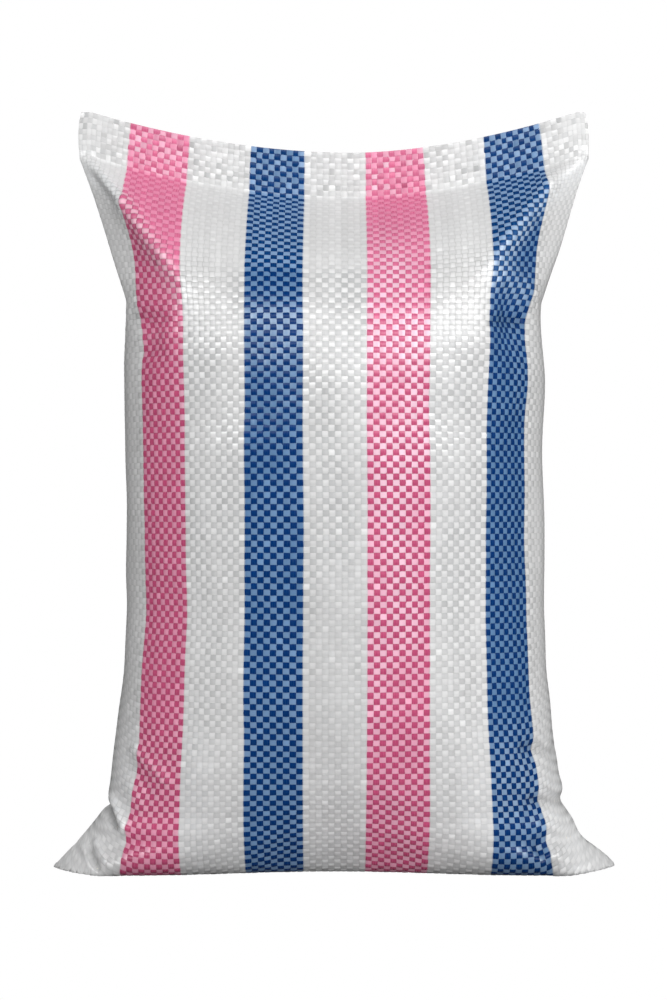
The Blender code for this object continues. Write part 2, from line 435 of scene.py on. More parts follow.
# Lights: place, target, size, power, and whether they show in gloss and in diffuse light
LIGHTS = {
    "key": ((0.45, -1.85, 0.75), (0.0, 0.0, 0.2), (1.2, 1.2), 18.0, False, True),
    "top": ((0.05, -1.40, 1.22), (0.0, 0.0, 0.25), (2.6, 0.50), 13.0, True, True),
    "right": ((1.25, -0.35, 0.50), (0.0, 0.0, 0.20), (0.5, 0.9), 2.9, False, True),
    "left": ((-1.30, -0.45, 0.45), (0.0, 0.0, 0.20), (0.5, 0.9), 0.8, False, True),
    "back": ((-0.30, 1.90, 0.80), (0.0, 0.0, 0.20), (1.4, 1.2), 36.0, False, True),
    "left sheen": ((-1.05, -1.00, 1.05), (-0.09, 0.0, 0.30), (0.9, 0.5), 4.5, True, False),
    "right sheen": ((1.05, -1.00, 1.05), (0.09, 0.0, 0.30), (1.0, 0.6), 8.0, True, False),
}


def ramp(value):
    return np.clip(value, 0.0, 1.0)


def smooth(value):
    share = ramp(value)
    return share * share * (3.0 - 2.0 * share)


def mix(start, end, share):
    return start + (end - start) * share


def rise(value, limits):
    """None up to the first limit, one past the second, and smooth between them."""
    start, end = limits
    return smooth((value - start) / (end - start))


def bell(value, middle, half_size):
    return np.exp(-(((value - middle) / half_size) ** 2))


def neck_share(level):
    return ramp((level - SHOULDER_LEVEL) / (MOUTH_LINE - SHOULDER_LEVEL))


def body_half_width(level):
    spread = ramp((SPREAD_LEVEL - level) / SPREAD_LEVEL) ** SPREAD_POWER
    upper = mix(WAIST_HALF_WIDTH, MOUTH_HALF_WIDTH, neck_share(level))
    return upper + (FOOT_HALF_WIDTH - WAIST_HALF_WIDTH) * spread


def ear_share(level):
    return ramp(1.0 - level / EAR_HEIGHT)


def ear_length(level):
    return EAR_LENGTH * ear_share(level) ** EAR_TAPER


def filled_share(level):
    return np.tanh(np.maximum(MOUTH_LINE - level, 0.0) / SHOULDER_REACH)


def turned_share(level):
    return 1.0 - ramp(1.0 - level / TURN_UNDER_HEIGHT) ** TURN_UNDER_POWER


def foot_front_y(x):
    return mix(FOOT_FRONT_MIDDLE_Y, FOOT_FRONT_SIDE_Y, smooth(np.abs(x) / FOOT_SIDE_X))


def foot_rounding(level, x):
    """How far the cloth draws in just above the floor, as a quarter circle."""
    up = FOOT_ROUNDING - np.minimum(level, FOOT_ROUNDING)
    inward = FOOT_ROUNDING - np.sqrt(FOOT_ROUNDING**2 - up**2)
    return inward * (1.0 - smooth((np.abs(x) - FOOT_SIDE_X) / (FOOT_ROUNDING_END_X - FOOT_SIDE_X)))


def front_y(level, x):
    body = mix(foot_front_y(x), BELLY_FRONT_Y, turned_share(level)) + foot_rounding(level, x)
    return mix(MOUTH_Y, body, filled_share(level))


def back_y(level):
    body = mix(FOOT_BACK_Y, BELLY_BACK_Y, turned_share(level))
    return mix(MOUTH_Y, body, filled_share(level))


def side_y(level):
    outer_front = front_y(level, FOOT_SIDE_X)
    middle = mix((outer_front + back_y(level)) / 2, MOUTH_Y, 1.0 - filled_share(level))
    return mix(EAR_Y, middle, smooth(level / EAR_HEIGHT))


def roundness(level):
    below = smooth((SHOULDER_LEVEL - level) / LEVELLING_HEIGHT)
    above = mix(SHOULDER_ROUNDNESS, MOUTH_ROUNDNESS, neck_share(level))
    return mix(FOOT_ROUNDNESS, mix(above, BELLY_ROUNDNESS, below), turned_share(level))


def row_lift(level, x):
    flat = smooth((level - MOUTH_LINE + LEVELLING_HEIGHT) / LEVELLING_HEIGHT)
    moved = x - LOW_POINT_X * (1.0 - ramp(np.abs(x) / MOUTH_HALF_WIDTH))
    power = np.where(x > 0.0, RIGHT_LIFT_POWER, LIFT_POWER)
    share = np.minimum(LIFT_AT_RIM * (np.abs(moved) / MOUTH_HALF_WIDTH) ** power, 1.0)
    return CORNER_LIFT * share * flat


def knee_profile(level, x, share):
    """A slope that stays nearly flat up to a ridge, and then falls straight to the side."""
    knee = KNEE_START + KNEE_RATE * (level - KNEE_START_LEVEL)
    knee = np.clip(knee + np.where(x > 0.0, KNEE_RIGHT_SHIFT, 0.0), *KNEE_LIMITS)
    crown = 1.0 - KNEE_CROWN * share**2
    straight = (1.0 - share) / (1.0 - knee) * (1.0 - KNEE_CROWN * knee**2)
    low = np.minimum(crown, straight)
    gap = np.abs(crown - straight)
    return np.maximum(low - KNEE_SOFTNESS * np.exp(-gap / KNEE_SOFTNESS), 0.0)


def body_depth(level, x, full_depth, foot_power):
    at_foot = ear_share(level)
    power = mix(roundness(level), foot_power, at_foot**2)
    side_power = mix(power, EAR_SIDE_SHARPNESS, smooth(2.0 * at_foot))
    share = ramp(np.abs(x) / (body_half_width(level) + ear_length(level)))
    round_profile = (1.0 - share**power) ** (1.0 / side_power)
    weight = smooth((level - KNEE_LOW_LEVEL) / (KNEE_FULL_LEVEL - KNEE_LOW_LEVEL))
    profile = mix(round_profile, knee_profile(level, x, share), weight)
    return np.maximum(full_depth, 0.0) * profile


def flap_depth(level, x, edge):
    root = edge - 2.0 * np.maximum(ear_length(level), SHORTEST_EAR)
    towards_tip = smooth((np.abs(x) - root) / (edge - root))
    ear = mix(EAR_ROOT_HALF_THICKNESS, EAR_TIP_HALF_THICKNESS, towards_tip)
    flap = mix(FLAP_HALF_THICKNESS, ear, ear_share(level))
    return flap * np.sqrt(1.0 - ramp(np.abs(x) / edge) ** EDGE_POWER)


def face_rings(levels, in_front):
    """Points of one face, an array of levels by samples from the left side to the right."""
    level = levels[:, None]
    angle = np.linspace(math.pi, 0.0, RING_SAMPLES)[None, :]
    edge = body_half_width(level) + ear_length(level)
    edge = edge - MOUTH_TAPER * ramp((level - MOUTH_LINE) / MOUTH_DEPTH) ** MOUTH_TAPER_POWER
    edge = edge - CORNER_ROUNDING * bell(level, MOUTH_LINE, CORNER_ROUNDING_HEIGHT)
    x = edge * np.cos(angle)
    x += LEFT_SHOULDER_CUT * bell(level, SHOULDER_CUT_LEVEL, SHOULDER_CUT_HEIGHT) * ramp(-x / edge) ** 2
    x -= RIGHT_EAR_CUT * bell(level, RIGHT_EAR_CUT_LEVEL, RIGHT_EAR_CUT_HEIGHT) * ramp(x / edge) ** 4
    middle = side_y(level)
    full_depth = middle - front_y(level, x) if in_front else back_y(level) - middle + 0.0 * x
    depth = body_depth(level, x, full_depth, FOOT_FRONT_POWER if in_front else FOOT_BACK_POWER)
    flap = flap_depth(level, x, edge)
    depth = (depth**BLEND_POWER + flap**BLEND_POWER) ** (1.0 / BLEND_POWER)
    depth[:, [0, -1]] = 0.0
    y = middle - depth if in_front else middle + depth
    z = level + row_lift(level, x)
    x = x + FOOT_SHIFT * rise(level, FOOT_SHIFT_LEVELS)
    return np.stack([x, y, z], axis=2)


def along(points):
    """Distance from the first point, along an array of points in its last but one axis."""
    steps = np.linalg.norm(np.diff(points, axis=-2), axis=-1)
    zero = np.zeros((*steps.shape[:-1], 1))
    return np.concatenate([zero, np.cumsum(steps, axis=-1)], axis=-1)


def at_distance(points, distance, wanted):
    return np.stack([np.interp(wanted, distance, points[:, axis]) for axis in range(3)], axis=1)


def place_columns(ring):
    """Half-column points of one face on a ring: warp tapes keep their pitch from the middle out."""
    distance = along(ring)
    level = ring[len(ring) // 2, 2]
    middle = distance[len(ring) // 2] + np.interp(level, CENTRE_LEVELS, CENTRE_SHIFTS)
    share = np.linspace(-1.0, 1.0, 2 * COLUMNS + 1)
    shifts = mix(np.array(BELLY_SHIFTS), np.array(SLOPE_SHIFTS), rise(level, SLOPE_SHIFT_LEVELS))
    at_mouth = ramp((level - MOUTH_SHIFT_LEVEL) / (MOUTH_LEVEL - MOUTH_SHIFT_LEVEL))
    shifts = shifts + at_mouth * np.array(MOUTH_SHIFTS)
    shifts = shifts + rise(level, LOW_SHIFT_LEVELS) * np.array(LOW_SHIFTS)
    share = share + np.interp(share * COLUMNS / 2, SHIFT_COLUMNS, shifts) / (COLUMNS / 2)
    pitch = np.interp(level, PITCH_LEVELS, PITCHES)
    wanted = np.empty_like(share)
    for side, length in ((share < 0, middle), (share >= 0, distance[-1] - middle)):
        excess = pitch * COLUMNS / 2 / length - 1.0
        size = np.abs(share[side])
        spread = (1.0 + excess) * size - excess * size**EDGE_GATHER_POWER
        wanted[side] = middle + np.sign(share[side]) * length * spread
    return at_distance(ring, distance, wanted)


def tube_lines():
    """Points of every half column of the tube, from the mouth down to the seam."""
    levels = MOUTH_LEVEL * (1.0 - np.linspace(0.0, 1.0, LEVEL_SAMPLES))
    front = np.array([place_columns(ring) for ring in face_rings(levels, True)])
    back = np.array([place_columns(ring) for ring in face_rings(levels, False)])
    tube = np.concatenate([front, back[:, -2:0:-1]], axis=1)
    out = np.linspace(-1, 1, 2 * COLUMNS + 1)
    column = np.concatenate([out, -out[1:-1]])
    steps = np.linspace(0.0, 1.0, BASE_SAMPLES + 1)[1:, None, None]
    base = tube[-1][None] + (seam_points(column) - tube[-1])[None] * steps
    lines = np.concatenate([tube, base], axis=0).transpose(1, 0, 2)
    x, y, z = (lines[:, :, axis] for axis in range(3))
    hump = HEM_RETURN_HEIGHT * np.where(np.arange(len(column)) <= 2 * COLUMNS, 0.0, 1.0)[:, None]
    near_seam = smooth(1.0 - (y - SEAM_Y) / HUMP_LENGTH)
    z += BASE_HEIGHT * smooth(1.0 - z / BASE_BLEND) + hump * near_seam * smooth(1.0 - z / HUMP_HEIGHT)
    z += tip_rise(x) * smooth(1.0 - z / TIP_RISE_BLEND)
    past = np.maximum(np.abs(x) - TIP_START_X, 0.0)
    x[:] = np.sign(x) * (np.minimum(np.abs(x), TIP_START_X) + TIP_LENGTH * np.tanh(past / TIP_LENGTH))
    return lines


def tip_rise(x):
    """How far both ends of the foot stand off the floor."""
    return np.where(x > 0.0, TIP_RISE_RIGHT, TIP_RISE_LEFT) * rise(np.abs(x), TIP_RISE_X)


def seam_y(x):
    column = (x - FOOT_SHIFT) / (COLUMN_PITCH * COLUMNS / 2)
    return mix(SEAM_Y, EAR_Y, rise(np.abs(column), (SEAM_BEND_START, 1.0)))


def seam_points(column):
    x = column * COLUMN_PITCH * COLUMNS / 2 + FOOT_SHIFT
    return np.stack([x, seam_y(x), np.zeros_like(x)], axis=1)


def row_samples(lines):
    """Half-row points of each line: level rows above, and rows spread evenly along the cloth below."""
    distance = along(lines)
    centre = distance[COLUMNS]
    rows = np.arange(2 * SEAM_ROW + 1) / 2.0
    upper = rows <= EVEN_ROW
    below = np.maximum(rows[upper] - BELLY_ROW, 0.0)
    path = rows[upper] * ROW_PITCH + below * (BELLY_ROW_PITCH - ROW_PITCH)
    sample = np.interp(path, centre, np.arange(len(centre)))
    grid = np.empty((len(lines), len(rows), 3))
    for index, line in enumerate(lines):
        own = distance[index]
        wanted = np.empty(len(rows))
        wanted[upper] = np.interp(sample, np.arange(len(own)), own)
        start = wanted[upper][-1]
        wanted[~upper] = mix(start, own[-1], (rows[~upper] - EVEN_ROW) / (SEAM_ROW - EVEN_ROW))
        grid[index] = at_distance(line, own, wanted)
    return grid


def fold_height(x, z):
    """Height of the folds over a place on the front, in metres."""
    total = np.zeros_like(x)
    for x0, z0, x1, z1, width, height in FOLDS:
        run_x = (x1 - x0) / 1000
        run_z = (z1 - z0) / 1000
        from_x = x - x0 / 1000
        from_z = z - z0 / 1000
        share = ramp((from_x * run_x + from_z * run_z) / (run_x**2 + run_z**2))
        away = np.hypot(from_x - share * run_x, from_z - share * run_z)
        total += height / 1000 * np.exp(-((away * 1000 / width) ** 2))
    return total


def smooth_noise(random, column_count, row_count, column_size, row_size):
    """Gentle uneven swelling, alike at both ends of the way round the tube."""
    across = max(int(column_count / column_size), 1)
    down = int(row_count / row_size) + 2
    knots = random.standard_normal((across, down))
    u = np.arange(column_count) / column_count * across
    v = np.arange(row_count) / row_size
    u0 = np.floor(u).astype(int) % across
    v0 = np.floor(v).astype(int)
    a = smooth(u - np.floor(u))[:, None]
    b = smooth(v - v0)[None, :]
    u1 = (u0 + 1) % across
    near = knots[u0][:, v0] * (1 - a) + knots[u1][:, v0] * a
    far = knots[u0][:, v0 + 1] * (1 - a) + knots[u1][:, v0 + 1] * a
    return near * (1 - b) + far * b


def held_share(rows):
    """One at the mouth and at the seam, where the cloth is held, and none between them."""
    top = 1.0 - (rows - HELD_ROWS) / HELD_BLEND
    bottom = 1.0 - (SEAM_ROW - HELD_ROWS - rows) / HELD_BLEND
    return ramp(np.maximum(top, bottom))


def pressed_out(points, rows):
    """Blender's cloth, cut a little large, pushed out by the rice and held at the mouth and the seam."""
    across, down = points.shape[:2]
    column = np.arange(across)[:, None]
    row = np.arange(down - 1)[None, :]
    following = (column + 1) % across
    quads = np.stack([column * down + row, column * down + row + 1,
                      following * down + row + 1, following * down + row], axis=2).reshape(-1, 4)
    proxy = make_mesh("cloth_proxy", points.reshape(-1, 3), quads)
    held = proxy.vertex_groups.new(name="held")
    for index, weight in enumerate(held_share(rows)):
        if weight > 0.0:
            ring = [int(first + index) for first in range(0, across * down, down)]
            held.add(ring, float(weight), "REPLACE")
    modifier = proxy.modifiers.new("Cloth", "CLOTH")
    for key, value in SIM_SETTINGS.items():
        setattr(modifier.settings, key, value)
    modifier.settings.effector_weights.gravity = 0
    modifier.collision_settings.use_collision = False
    modifier.point_cache.frame_start = 1
    modifier.point_cache.frame_end = SIM_FRAMES
    scene = bpy.context.scene
    for frame_number in range(1, SIM_FRAMES + 1):
        scene.frame_set(frame_number)
    result = proxy.evaluated_get(bpy.context.evaluated_depsgraph_get()).data
    moved = np.empty(points.size, np.float32)
    result.vertices.foreach_get("co", moved)
    mesh = proxy.data
    bpy.data.objects.remove(proxy)
    bpy.data.meshes.remove(mesh)
    scene.frame_set(1)
    return moved.reshape(points.shape)


def blurred(values, times):
    """Values spread to their neighbours round the tube and along it."""
    for _ in range(times):
        values = (np.roll(values, 1, axis=0) + np.roll(values, -1, axis=0) + 2.0 * values) / 4.0
        padded = np.pad(values, ((0, 0), (1, 1)), mode="edge")
        values = (padded[:, 2:] + padded[:, :-2] + 2.0 * values) / 4.0
    return values


def wrinkle_room(grid_shape):
    """How much of the simulated wrinkles shows: least on the taut slope, none at the thin neck edges."""
    column = (np.arange(grid_shape[0]) / 2.0)[:, None]
    row = (np.arange(grid_shape[1]) / 2.0)[None, :]
    down = np.interp(row, WRINKLE_ROWS, WRINKLE_SHARES)
    neck_edge = rise(np.abs(face_column(column)), NECK_EDGE_COLUMNS) * rise(row, NECK_EDGE_ROWS)
    return down * (1.0 - neck_edge) * (1.0 - MARGIN_WRINKLE_LOSS * margin_share(column))


def wrinkles(grid, normal):
    """Height of the fine wrinkles from the cloth simulation over each point of the tube."""
    last = grid.shape[1] - 1
    samples = np.append(np.arange(0, last, SIM_STEP), last)
    coarse = grid[::SIM_STEP][:, samples]
    moved = pressed_out(coarse, samples / 2.0)
    height = ((moved - coarse) * normal[::SIM_STEP][:, samples]).sum(axis=2)
    height = np.clip(height - blurred(height, WRINKLE_BLURS), -WRINKLE_LIMIT, WRINKLE_LIMIT)
    round_tube = np.arange(len(grid)) / SIM_STEP
    wrapped = np.concatenate([height, height[:1]])
    wide = np.stack([np.interp(round_tube, np.arange(len(wrapped)), line) for line in wrapped.T], axis=1)
    full = np.stack([np.interp(np.arange(last + 1), samples, line) for line in wide])
    return blurred(full, 2) * wrinkle_room(grid.shape)


def folded(grid):
    """The tube and the heights of its folds: the back has the front's ones, reversed and half as high."""
    random = np.random.default_rng(SEED)
    normal = grid_normals(grid, True)
    half = np.arange(len(grid)) / 2.0
    past_edge = np.minimum(np.maximum(half - COLUMNS, 0.0), np.abs(2 * COLUMNS - half))
    on_front = 1.0 - smooth(past_edge / FOLD_TURN_COLUMNS)[:, None]
    x, z = grid[:, :, 0], grid[:, :, 2]
    fold = fold_height(x, z) * on_front
    fold = fold + fold_height(-x, z - BACK_FOLD_RISE) * BACK_FOLD_SHARE * (1.0 - on_front)
    rows = np.arange(grid.shape[1]) / 2.0
    swell = smooth_noise(random, *grid.shape[:2], 2 * SWELL_COLUMNS, 2 * SWELL_ROWS)
    swell += SMALL_SWELL * smooth_noise(random, *grid.shape[:2], SWELL_COLUMNS, SWELL_ROWS)
    swell *= SWELL * rise(rows, SWELL_START_ROWS) * rise(rows, SWELL_END_ROWS)
    moved = grid + normal * (fold + swell)[:, :, None]
    normal = grid_normals(moved, True)
    moved = moved + normal * wrinkles(moved, normal)[:, :, None]
    for tuck_x, tuck_z, width, height, inward in TUCKS:
        near = bell(x, tuck_x, width) * bell(z, tuck_z, height)
        moved[:, :, 0] -= math.copysign(inward, tuck_x) * near * on_front
    raised = np.maximum(moved[:, :, 2], BASE_HEIGHT)
    moved[:, :, 2] = np.where(z < 1.5 * BASE_HEIGHT, z, raised)
    return moved, fold


def grid_normals(grid, closed):
    if closed:
        across = np.roll(grid, -1, axis=0) - np.roll(grid, 1, axis=0)
    else:
        across = np.gradient(grid, axis=0)
    down = np.gradient(grid, axis=1)
    normal = np.cross(down, across)
    return normal / np.maximum(np.linalg.norm(normal, axis=2, keepdims=True), 1e-12)


class Cloth:
    """A surface in cloth coordinates, sampled at half columns and half rows."""

    def __init__(self, grid, closed, fold=0.0):
        self.grid = grid
        self.closed = closed
        self.fold = np.broadcast_to(fold, grid.shape[:2])[:, :, None]
        self.normal = grid_normals(grid, closed)

    def corners(self, column, row):
        u = np.asarray(column) * 2.0
        v = np.clip(np.asarray(row) * 2.0, 0.0, self.grid.shape[1] - 1.0)
        size = self.grid.shape[0]
        u = u % size if self.closed else np.clip(u, 0.0, size - 1.0)
        u0 = np.floor(u).astype(int)
        v0 = np.minimum(np.floor(v).astype(int), self.grid.shape[1] - 2)
        if self.closed:
            u0 %= size
            u1 = (u0 + 1) % size
        else:
            u0 = np.minimum(u0, size - 2)
            u1 = u0 + 1
        return u0, u1, v0, (u - np.floor(u) if self.closed else u - u0)[..., None], (v - v0)[..., None]

    def blend(self, values, column, row):
        u0, u1, v0, a, b = self.corners(column, row)
        low = values[u0, v0] * (1 - a) + values[u1, v0] * a
        high = values[u0, v0 + 1] * (1 - a) + values[u1, v0 + 1] * a
        return low * (1 - b) + high * b

    def point(self, column, row, height):
        normal = self.blend(self.normal, column, row)
        normal /= np.maximum(np.linalg.norm(normal, axis=-1, keepdims=True), 1e-12)
        return self.blend(self.grid, column, row) + normal * np.asarray(height)[..., None]


def make_mesh(name, points, quads, uv=None, colours=None):
    data = bpy.data.meshes.new(name)
    data.vertices.add(len(points))
    data.vertices.foreach_set("co", np.asarray(points, np.float32).ravel())
    data.loops.add(4 * len(quads))
    data.loops.foreach_set("vertex_index", np.asarray(quads, np.int32).ravel())
    data.polygons.add(len(quads))
    data.polygons.foreach_set("loop_start", np.arange(0, 4 * len(quads), 4, dtype=np.int32))
    data.update(calc_edges=True)
    data.shade_smooth()
    if uv is not None:
        layer = data.uv_layers.new(name="tape")
        layer.data.foreach_set("uv", np.asarray(uv[np.asarray(quads).ravel()], np.float32).ravel())
    for key, values in (colours or {}).items():
        attribute = data.attributes.new(key, "FLOAT", "POINT")
        attribute.data.foreach_set("value", np.asarray(values, np.float32).ravel())
    obj = bpy.data.objects.new(name, data)
    bpy.context.scene.collection.objects.link(obj)
    return obj


def strip_quads(strips, along_count, across_count):
    """Faces of several equal strips whose points are stored strip by strip, row by row."""
    strip = np.arange(strips)[:, None, None] * along_count * across_count
    row = np.arange(along_count - 1)[None, :, None] * across_count
    col = np.arange(across_count - 1)[None, None, :]
    first = (strip + row + col).ravel()
    return np.stack([first, first + across_count, first + across_count + 1, first + 1], axis=1)


def crossing_steps(count):
    """Where the points lie along a tape: both ends and the middle of each float, and both cut ends."""
    middle = np.arange(count)[:, None] + 0.5
    steps = middle + np.array([-0.5, 0.0, 0.5])[None, :] * FLAT_SHARE
    crossing = np.repeat(np.arange(count), 3)
    return (np.concatenate([[0.0], steps.ravel(), [count]]),
            np.concatenate([[0], crossing, [count - 1]]))


def crinkle_at(column, row):
    """How uneven the tapes lie: most in the pressed band at the mouth, least on the taut slope."""
    belly = BELLY_CRINKLE * rise(row, ROUGH_ROWS) * (1.0 - MARGIN_CALM * margin_share(column))
    belly = belly * (1.0 - LOW_CALM * low_share(row)) * (1.0 - SHINY_CALM * shiny_share(column, row))
    return SLOPE_CRINKLE + BAND_CRINKLE * band_share(row) + belly


def patches(column, row):
    """Slow waves over the cloth, from 0 to 1, for painted light where the two sets of tapes catch the light
    alike.
    """
    angle = np.asarray(column) / COLUMNS * 2.0 * math.pi
    wave = sum(np.sin(times * angle + slant * row + start) for times, slant, start in PATCH_WAVES)
    return smooth(0.5 + PATCH_SHARPNESS * wave)


def band_share(row):
    """One in the pressed band along the mouth, and none below it."""
    return rise(row, BAND_END_ROWS)


def low_share(row):
    """One on the lowest third of the cloth, and none above it."""
    return rise(row, LOW_ROWS)


def margin_share(column):
    """One where the cloth turns round the side, and none on the faces."""
    return rise(np.abs(face_column(column)), MARGIN_COLUMNS)


def shiny_share(column, row):
    own = face_column(column)
    total = 0.0
    for middle, middle_row, across, down in SHINY_PLACES:
        total = total + bell(own, middle, across) * bell(row, middle_row, down)
    return ramp(SHINY_STRENGTH * total)


# Painted highlight along the ridge that ends the slope
def ridge_highlight_share(column, row):
    own = face_column(column)
    near = bell(row, np.interp(own, RIDGE_COLUMNS, RIDGE_ROWS), RIDGE_HALF_ROWS)
    return near * rise(np.abs(own), RIDGE_START_COLUMNS)


def foot_highlight_share(column, row):
    """One low down at the sides, where light from the floor side reaches the stripes."""
    low = rise(row, FOOT_HIGHLIGHT_ROWS) * (1.0 - FOOT_DIM * rise(row, FOOT_DIM_ROWS))
    return low * rise(np.abs(face_column(column)), FOOT_HIGHLIGHT_COLUMNS)


def crown_highlight_share(column, row):
    """One high up on the middle blue stripe, where the belly faces the upper light."""
    middle = rise(np.abs(face_column(column)), CROWN_COLUMNS) * in_stripe("blue", column)
    return middle * bell(row, CROWN_ROW, CROWN_HALF_ROWS)


def belly_share(column, row):
    """None on the taut slope below the mouth, and one below the ridge that ends it."""
    start = np.interp(face_column(column), SLOPE_END_COLUMNS, SLOPE_END_ROWS)
    behind = np.asarray(column) % (2 * COLUMNS) >= COLUMNS
    return smooth((row - start) / np.where(behind, SLOPE_BLEND_BACK, SLOPE_BLEND_FRONT))


def slope_share(column, row):
    return (1.0 - band_share(row)) * (1.0 - belly_share(column, row))


def contrast_at(column, row, is_warp):
    """How plainly a crossing has the tone it shows on the belly, in place of that of the taut slope."""
    own = face_column(column)
    belly = belly_share(column, row)
    right_pink = in_stripe("pink", column) * (own > 0.0)
    if is_warp:
        return belly * mix(1.0, rise(row, DEEP_CHECK_ROWS), right_pink)
    belly = np.maximum(belly, right_pink * rise(row, PALE_CHECK_ROWS))
    faded = belly * mix(1.0, FADED_SHARE, rise(row, FADE_ROWS)) * mix(*PATCH_LIMITS, patches(column, row))
    # Painted light: the shiny places and the sheen shares at the sides set how much of its belly tone the
    # weft shows
    faded = faded * (1.0 - shiny_share(column, row)) * np.interp(own, SHEEN_COLUMNS, SHEEN_SHARES)
    deep = in_stripe("blue", column) * (own > 0.0) * rise(row, DEEP_BLUE_ROWS)
    return mix(faded, DEEP_BLUE * belly, deep)


class Weave:
    """One set of parallel tapes, with three points across each: their columns and rows on the cloth."""

    def __init__(self, name, tapes, count, first_crossing, is_warp):
        self.is_warp = is_warp
        self.shape = (len(tapes), count)
        self.random = np.random.default_rng(SEED + len(name) + int(is_warp) * 100 + len(tapes))
        steps, self.crossing = crossing_steps(count)
        self.tape = np.asarray(tapes)[:, None, None]
        self.step = steps[None, :, None]
        self.cross = self.crossing[None, :, None]
        self.side = np.array([-0.5, 0.0, 0.5])[None, None, :]
        self.over = ((self.tape + self.cross + first_crossing) % 2 == 0) == is_warp
        width = TAPE_WIDTH * (1.0 + WIDTH_SPREAD * self.random.standard_normal((len(tapes), 1, 1)))
        uneven = self.for_points(np.random.default_rng(SEED + count).standard_normal(self.shape))
        uneven = BAND_UNEVENNESS * np.clip(uneven, -UNEVENNESS_LIMIT, UNEVENNESS_LIMIT)
        width = width * (1.0 + uneven * band_share(self.step if is_warp else self.tape + 0.5))
        sway = TAPE_SWAY * self.random.standard_normal((len(tapes), len(steps), 1))
        position = self.tape + 0.5 + self.side * width + sway
        distance = np.broadcast_to(self.step, position.shape)
        self.column, self.row = (position, distance) if is_warp else (distance, position)
        self.uv = np.stack(np.broadcast_arrays(self.side + self.tape, self.step), axis=-1).reshape(-1, 2)

    def for_points(self, values):
        """Values of the crossings, for each point of the tapes."""
        return values[:, self.crossing][:, :, None]


def tape_heights(weave):
    """How far the points stand out of the cloth, or in where another tape covers them."""
    tilt = weave.random.standard_normal((*weave.shape, 2))
    local = weave.step - weave.cross - 0.5
    tilted = weave.for_points(tilt[:, :, 0]) * weave.side + weave.for_points(tilt[:, :, 1]) * local
    dome = TAPE_DOME * (1.0 - 4.0 * weave.side**2)
    bow = (WARP_BOW if weave.is_warp else WEFT_BOW) * (1.0 - 4.0 * local**2 / FLAT_SHARE**2)
    height = np.where(weave.over, TAPE_WAVE + dome + bow, HIDDEN_DOME * dome - TAPE_WAVE)
    height = height + TILT_HEIGHT * crinkle_at(weave.column, weave.row) * tilted
    height = height * (1.0 - MARGIN_FLATNESS * margin_share(weave.column))
    height = height * (1.0 - SLOPE_FLATNESS * slope_share(weave.column, weave.row))
    at_end = (weave.step <= 0.0) | (weave.step >= weave.shape[1])
    return np.where(at_end, height * 0.5, height)


def tape_tones(weave):
    """Half of a tape's own tone and half of a float's, more alike where the cloth is taut or low."""
    tone = 0.5 * weave.random.random((weave.shape[0], 1, 1))
    tone = tone + 0.5 * weave.for_points(weave.random.random(weave.shape))
    return mix(tone, 0.5, EVEN_TONE * np.maximum(margin_share(weave.column), low_share(weave.row)))


def tape_gains(weave, fold, level):
    """How bright the points are: flecks and ribs, with painted glints among the flecks, then painted shade in
    creases and painted highlight on crests, then painted light and shade by where they are on the face and
    how near the floor.
    """
    column, row = weave.column, weave.row
    own = face_column(column)
    fleck = weave.random.standard_normal(weave.shape)
    fleck = weave.for_points(np.where(fleck > RARE_FLECK, 2.0 * fleck, fleck))
    rough = rise(row, ROUGH_ROWS) * (1.0 - MARGIN_FLECK_LOSS * margin_share(column))
    spread = mix(SLOPE_FLECK, BELLY_FLECK, rough)
    gain = 1.0 + fleck * mix(spread, BAND_FLECK, band_share(row))
    rib = np.random.default_rng(SEED + 3).standard_normal(2 * COLUMNS)
    rib = np.clip(rib, -UNEVENNESS_LIMIT, UNEVENNESS_LIMIT)
    rib = rib[(weave.tape if weave.is_warp else weave.cross) % (2 * COLUMNS)]
    gain = np.clip(gain + RIB * slope_share(column, row) * rib, *GAIN_LIMITS)
    # Painted shade in creases and painted highlight on crests
    gain = gain * (1.0 - np.minimum(CREASE_SHADE * np.maximum(-fold, 0.0), DEEPEST_SHADE))
    gain = gain * (1.0 + CREST_HIGHLIGHT_GAIN * np.maximum(fold, 0.0))
    middle = bell(own, 0.0, MIDDLE_COLUMNS)
    gain = gain * mix(1.0, np.interp(row, MIDDLE_ROWS, MIDDLE_GAINS), middle)
    floor_shade = np.interp(np.abs(own), FLOOR_SHADE_COLUMNS, FLOOR_SHADES)
    gain = gain * (1.0 - floor_shade * smooth(1.0 - level / FLOOR_SHADE_HEIGHT))
    if weave.is_warp:
        plain = middle * (1.0 - in_stripe("pink", column)) * (1.0 - in_stripe("blue", column))
        return gain * mix(1.0, np.interp(row, PLAIN_ROWS, PLAIN_WARP_GAINS), plain)
    dimmed = belly_share(column, row) * rise(row, DIM_END_ROWS)
    return gain * mix(1.0, np.interp(own, DIM_COLUMNS, DIM_WEFT_GAINS), dimmed)


def tape_contrasts(weave):
    bright = weave.for_points(weave.random.random(weave.shape)) ** 2
    in_band = bright * (BAND_WARP_CONTRAST if weave.is_warp else BAND_WEFT_CONTRAST)
    return mix(contrast_at(weave.column, weave.row, weave.is_warp), in_band, band_share(weave.row))


def tape_highlights(weave, fold):
    """How much of the painted highlight, in the colour of a crest, the points have: on the ridge, on fold
    crests, low at the sides and high in the middle.
    """
    column, row = weave.column, weave.row
    pale = ridge_highlight_share(column, row) + CREST_HIGHLIGHT * np.maximum(fold, 0.0) * belly_share(column, row)
    if not weave.is_warp:
        pale = pale + FOOT_HIGHLIGHT * foot_highlight_share(column, row) + CROWN_HIGHLIGHT * crown_highlight_share(column, row)
    pale = np.minimum(pale, 1.0) * (WARP_HIGHLIGHT if weave.is_warp else WEFT_HIGHLIGHT)
    return pale * weave.for_points(0.5 + 0.5 * weave.random.random(weave.shape))


